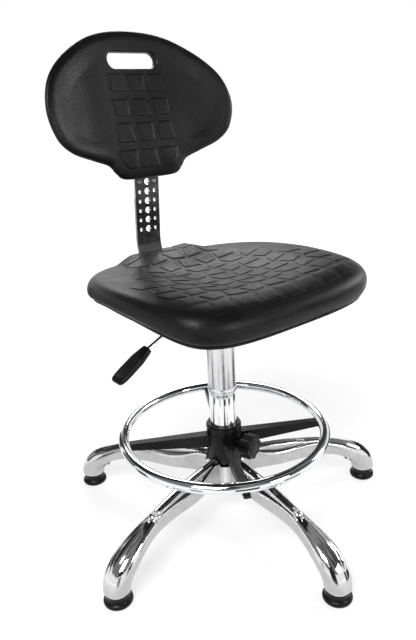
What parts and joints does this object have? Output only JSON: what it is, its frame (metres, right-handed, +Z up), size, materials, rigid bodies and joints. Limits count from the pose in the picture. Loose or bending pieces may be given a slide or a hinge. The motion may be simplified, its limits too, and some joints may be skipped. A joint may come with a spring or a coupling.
{
  "type": "drafting chair",
  "caption": "Swivelling drafting chair with moulded seat and backrest on a gas column, with a foot ring and a star base on glides.",
  "frame": {"origin": "on the floor, where the seat's swivel axis meets it", "axes": "+Z up along the swivel axis; the chair faces -Y; +X is the sitter's left"},
  "size_m": [0.6166, 0.6057, 0.884],
  "materials": {
    "polished_aluminium": "polished die-cast aluminium",
    "chrome": "bright chrome plate",
    "steel": "plain machined steel",
    "black_steel": "black powder coat",
    "black_nylon": "moulded nylon, fine texture",
    "grey_plastic": "natural acetal",
    "rubber": "matt rubber",
    "pu_foam": "self-skinned polyurethane, leather grain",
    "board": "moulded plywood",
    "brass": "turned brass"
  },
  "bodies": {
    "base": {"base_star": "polished_aluminium", "leg_inserts": "black_nylon", "glide_sockets": "black_nylon", "column_tube": "chrome", "guide_bush": "grey_plastic", "lower_race": "steel", "thrust_bearing": "steel"},
    "piston_unit": {"piston_rod": "steel", "piston": "grey_plastic", "upper_race": "steel", "rubber_bumper": "rubber", "retaining_clip": "steel"},
    "seat_unit": {"gas_cylinder": "black_steel", "column_sleeve": "chrome", "mechanism_housing": "black_steel", "taper_socket": "black_steel", "seat_plate": "black_steel", "lever_bracket": "black_steel", "seat_core": "board", "seat_foam": "pu_foam", "seat_bolts": "steel", "bar_bolts": "steel", "back_bar": "chrome", "bar_screws": "steel", "back_core": "black_nylon", "backrest_foam": "pu_foam", "back_screws": "steel"},
    "release_button": {"release_pin": "steel"},
    "height_lever": {"lever_rod": "chrome", "lever_trunnion": "grey_plastic", "lever_paddle": "black_nylon"},
    "footring_slider": {"footring_collet": "black_nylon"},
    "footring_unit": {"footring_hub": "black_nylon", "footring": "chrome", "ring_screws": "steel", "clamp_nut": "brass"},
    "clamp_handle": {"clamp_knob": "black_nylon", "clamp_screw": "steel"},
    "floor_glide_1": {"glide_1": "black_nylon", "glide_stem_1": "steel"},
    "floor_glide_2": {"glide_2": "black_nylon", "glide_stem_2": "steel"},
    "floor_glide_3": {"glide_3": "black_nylon", "glide_stem_3": "steel"},
    "floor_glide_4": {"glide_4": "black_nylon", "glide_stem_4": "steel"},
    "floor_glide_5": {"glide_5": "black_nylon", "glide_stem_5": "steel"}
  },
  "joints": [
    {"name": "seat_swivel", "type": "hinge", "parent": "base", "child": "piston_unit", "pos_m": [0, 0, 0.07], "axis": [0, 0, 1], "continuous": true},
    {"name": "seat_lift", "type": "slide", "parent": "piston_unit", "child": "seat_unit", "axis": [0, 0, 1], "range_m": [-0.012, 0.113]},
    {"name": "height_lever_pivot", "type": "hinge", "parent": "seat_unit", "child": "height_lever", "pos_m": [-0.05, 0, 0.424], "axis": [0, 1, 0], "range_deg": [0, 3]},
    {"name": "release_pin_press", "type": "slide", "parent": "seat_unit", "child": "release_button", "axis": [0, 0, 1], "range_m": [-0.003, 0], "stiffness_N_per_m": 1500, "springref_m": 0.001},
    {"name": "footring_height", "type": "slide", "parent": "base", "child": "footring_slider", "axis": [0, 0, 1], "range_m": [0, 0.05]},
    {"name": "footring_turn", "type": "hinge", "parent": "footring_slider", "child": "footring_unit", "pos_m": [0, 0, 0.15], "axis": [0, 0, 1], "continuous": true},
    {"name": "clamp_knob_turn", "type": "hinge", "parent": "footring_unit", "child": "clamp_handle", "pos_m": [0.01269, -0.04836, 0.152], "axis": [0.2538, -0.9673, 0], "range_deg": [0, 540]},
    {"name": "glide_1_turn", "type": "hinge", "parent": "base", "child": "floor_glide_1", "pos_m": [-0.02875, -0.29862, 0.02], "axis": [0, 0, 1], "continuous": true},
    {"name": "glide_2_turn", "type": "hinge", "parent": "base", "child": "floor_glide_2", "pos_m": [0.27512, -0.11962, 0.02], "axis": [0, 0, 1], "continuous": true},
    {"name": "glide_3_turn", "type": "hinge", "parent": "base", "child": "floor_glide_3", "pos_m": [0.19879, 0.22469, 0.02], "axis": [0, 0, 1], "continuous": true},
    {"name": "glide_4_turn", "type": "hinge", "parent": "base", "child": "floor_glide_4", "pos_m": [-0.15226, 0.25849, 0.02], "axis": [0, 0, 1], "continuous": true},
    {"name": "glide_5_turn", "type": "hinge", "parent": "base", "child": "floor_glide_5", "pos_m": [-0.29289, -0.06493, 0.02], "axis": [0, 0, 1], "continuous": true}
  ],
  "couplings": [
    {"joint": "release_pin_press", "follows": "height_lever_pivot", "m_per_rad": -0.05}
  ]
}
